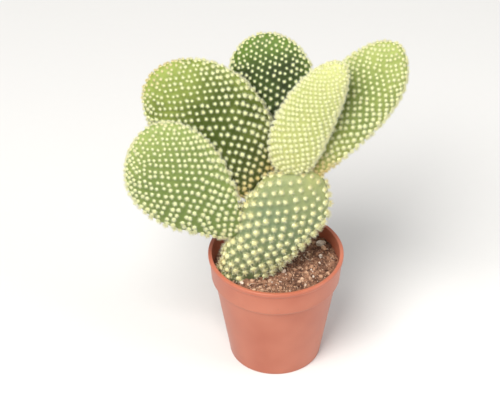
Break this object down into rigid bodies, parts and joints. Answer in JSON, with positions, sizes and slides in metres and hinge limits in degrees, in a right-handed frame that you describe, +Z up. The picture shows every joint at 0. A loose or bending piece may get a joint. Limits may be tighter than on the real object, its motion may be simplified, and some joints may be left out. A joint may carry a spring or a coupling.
{
  "type": "potted prickly pear cactus",
  "caption": "Small prickly pear cactus of flat oval pads with bristle tufts, growing in peat in a round nursery pot.",
  "frame": {"origin": "centre of the pot's underside, on the surface that the pot stands on", "axes": "+Z up along the pot's axis; the broad sides of the pads face roughly -Y, which is the front; +X to the right seen from the front"},
  "size_m": [0.1112, 0.0647, 0.1446],
  "materials": {
    "pot": "satin",
    "old_pad": "matte",
    "young_pad": "matte",
    "roots": "matte",
    "soil": "matte"
  },
  "bodies": {
    "root": {"pot": "pot", "pad_base": "old_pad", "pad_lower_left": "young_pad", "pad_upper_left": "young_pad", "pad_centre_back": "young_pad", "pad_right_front": "young_pad", "pad_right_back": "young_pad", "roots": "roots", "soil": "soil"}
  },
  "joints": []
}
